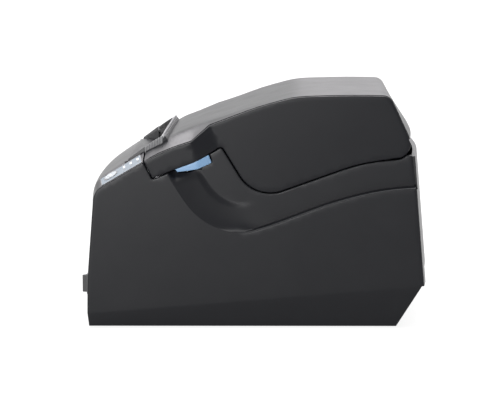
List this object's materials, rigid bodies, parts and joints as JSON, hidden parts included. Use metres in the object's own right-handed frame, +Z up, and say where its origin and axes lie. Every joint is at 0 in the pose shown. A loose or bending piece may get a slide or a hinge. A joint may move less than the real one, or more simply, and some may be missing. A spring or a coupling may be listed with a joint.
{
  "type": "receipt printer",
  "caption": "Desktop thermal receipt printer with a top cover that hinges open at the rear, a roll bucket, a print mechanism with cutter, and a release lever.",
  "frame": {"origin": "bottom centre of the printer, on the plane that its feet stand on", "axes": "+X across the width to the user's right, where the cover lever is; -Y to the front, where the controls and the paper exit are; +Z up"},
  "size_m": [0.145, 0.2026, 0.1349],
  "materials": {
    "case_plastic": "fine-grained charcoal",
    "panel_plastic": "fine-grained dark grey",
    "cover_plastic": "fine-grained near-black",
    "inner_plastic": "plain black",
    "lever_plastic": "pale blue",
    "window_film": "printed film, pale blue grey",
    "light_pipe": "clear to milky",
    "button_plastic": "pale blue grey",
    "switch_plastic": "black",
    "gear_plastic": "natural white acetal",
    "bush_plastic": "natural acetal",
    "foot_rubber": "matt black",
    "platen_rubber": "ground, matt",
    "sheet_steel": "zinc plated",
    "bar_steel": "bright",
    "blade_steel": "hardened, ground",
    "shaft_steel": "ground",
    "spring_steel": "bright wire",
    "screw_steel": "zinc plated",
    "head_aluminium": "machined",
    "head_ceramic": "glazed ceramic",
    "motor_can": "plated can",
    "pinion_brass": "turned",
    "board": "solder mask",
    "component": "moulded",
    "cable_film": "flat flexible cable"
  },
  "bodies": {
    "printer_body": {"main_case": "case_plastic", "front_panel": "panel_plastic", "base_tray": "inner_plastic", "rubber_feet": "foot_rubber", "case_screws": "screw_steel", "roll_bucket": "inner_plastic", "near_end_sensor": "component", "chassis": "sheet_steel", "chassis_screws": "screw_steel", "head_pivot_shaft": "shaft_steel", "head_springs": "spring_steel", "feed_motor": "motor_can", "idler_stud": "shaft_steel", "gear_cover": "inner_plastic", "cutter_housing": "component", "cutter_motor": "motor_can", "paper_sensor": "component", "latch_catch": "sheet_steel", "main_board": "board", "board_screws": "screw_steel", "board_parts": "component", "power_inlet": "component", "drawer_socket": "component", "usb_socket": "sheet_steel", "serial_socket": "sheet_steel", "interface_plate": "sheet_steel", "plate_screws": "screw_steel", "buzzer": "component", "head_cable": "cable_film", "panel_board": "board", "indicator_panel": "window_film", "indicator_lights": "light_pipe", "feed_switch": "component", "switch_bezel": "switch_plastic", "hinge_pins": "shaft_steel"},
    "cover": {"cover_shell": "cover_plastic", "cover_top_panel": "cover_plastic", "cover_liner": "inner_plastic", "tear_bar": "bar_steel", "fixed_blade": "blade_steel", "platen_bracket": "sheet_steel", "bracket_screws": "screw_steel", "platen_bushes": "bush_plastic", "lever_pin": "shaft_steel", "lever_spring": "spring_steel"},
    "release_lever": {"cover_lever": "lever_plastic"},
    "platen": {"platen_shaft": "shaft_steel", "platen_roller": "platen_rubber", "platen_gear": "gear_plastic"},
    "idler": {"idler_gear": "gear_plastic"},
    "pinion": {"motor_pinion": "pinion_brass"},
    "print_head": {"head_heatsink": "head_aluminium", "head_ceramic": "head_ceramic"},
    "blade": {"cutter_blade": "blade_steel"},
    "blade_pinion": {"cutter_pinion": "gear_plastic"},
    "paper_low_lever": {"near_end_lever": "gear_plastic"},
    "feed_key": {"feed_button": "button_plastic"},
    "power_key": {"power_rocker": "switch_plastic"}
  },
  "joints": [
    {"name": "cover_hinge", "type": "hinge", "parent": "printer_body", "child": "cover", "pos_m": [0, 0.08, 0.108], "axis": [-1, 0, 0], "range_deg": [0, 90]},
    {"name": "lever_pull", "type": "hinge", "parent": "cover", "child": "release_lever", "pos_m": [0.0691, -0.04652, 0.0945], "axis": [0, -0.9075, -0.42], "range_deg": [0, 12], "stiffness_Nm_per_rad": 0.02, "springref_deg": -5.73},
    {"name": "platen_spin", "type": "hinge", "parent": "cover", "child": "platen", "pos_m": [0, -0.05057, 0.07855], "axis": [1, 0, 0], "continuous": true},
    {"name": "idler_spin", "type": "hinge", "parent": "printer_body", "child": "idler", "pos_m": [-0.0565, -0.04546, 0.05592], "axis": [1, 0, 0], "continuous": true},
    {"name": "pinion_spin", "type": "hinge", "parent": "printer_body", "child": "pinion", "pos_m": [-0.0565, -0.03953, 0.03766], "axis": [1, 0, 0], "continuous": true},
    {"name": "head_rock", "type": "hinge", "parent": "printer_body", "child": "print_head", "pos_m": [0, -0.05394, 0.0571], "axis": [1, 0, 0], "range_deg": [0, 2], "stiffness_Nm_per_rad": 2, "springref_deg": -2.86, "deforming": ["head_springs"]},
    {"name": "blade_slide", "type": "slide", "parent": "printer_body", "child": "blade", "axis": [0, 0.9397, 0.342], "range_m": [0, 0.005]},
    {"name": "blade_pinion_turn", "type": "hinge", "parent": "printer_body", "child": "blade_pinion", "pos_m": [0.0295, -0.0713, 0.08377], "axis": [0, -0.342, 0.9397], "range_deg": [0, 84]},
    {"name": "paper_low_turn", "type": "hinge", "parent": "printer_body", "child": "paper_low_lever", "pos_m": [0.0456, 0.039, 0.04], "axis": [1, 0, 0], "range_deg": [0, 14], "stiffness_Nm_per_rad": 0.002, "springref_deg": -5.73},
    {"name": "feed_press", "type": "slide", "parent": "printer_body", "child": "feed_key", "axis": [-0.3321, 0.4788, -0.8127], "range_m": [0, 0.0008], "stiffness_N_per_m": 300, "springref_m": -0.0005},
    {"name": "power_rock", "type": "hinge", "parent": "printer_body", "child": "power_key", "pos_m": [0.057, -0.09471, 0.0248], "axis": [0, 0, 1], "range_deg": [0, 18]}
  ],
  "couplings": [
    {"joint": "idler_spin", "follows": "platen_spin", "ratio": -0.61111},
    {"joint": "pinion_spin", "follows": "platen_spin", "ratio": 1.8333},
    {"joint": "blade_pinion_turn", "follows": "blade_slide", "rad_per_m": 285.71}
  ]
}
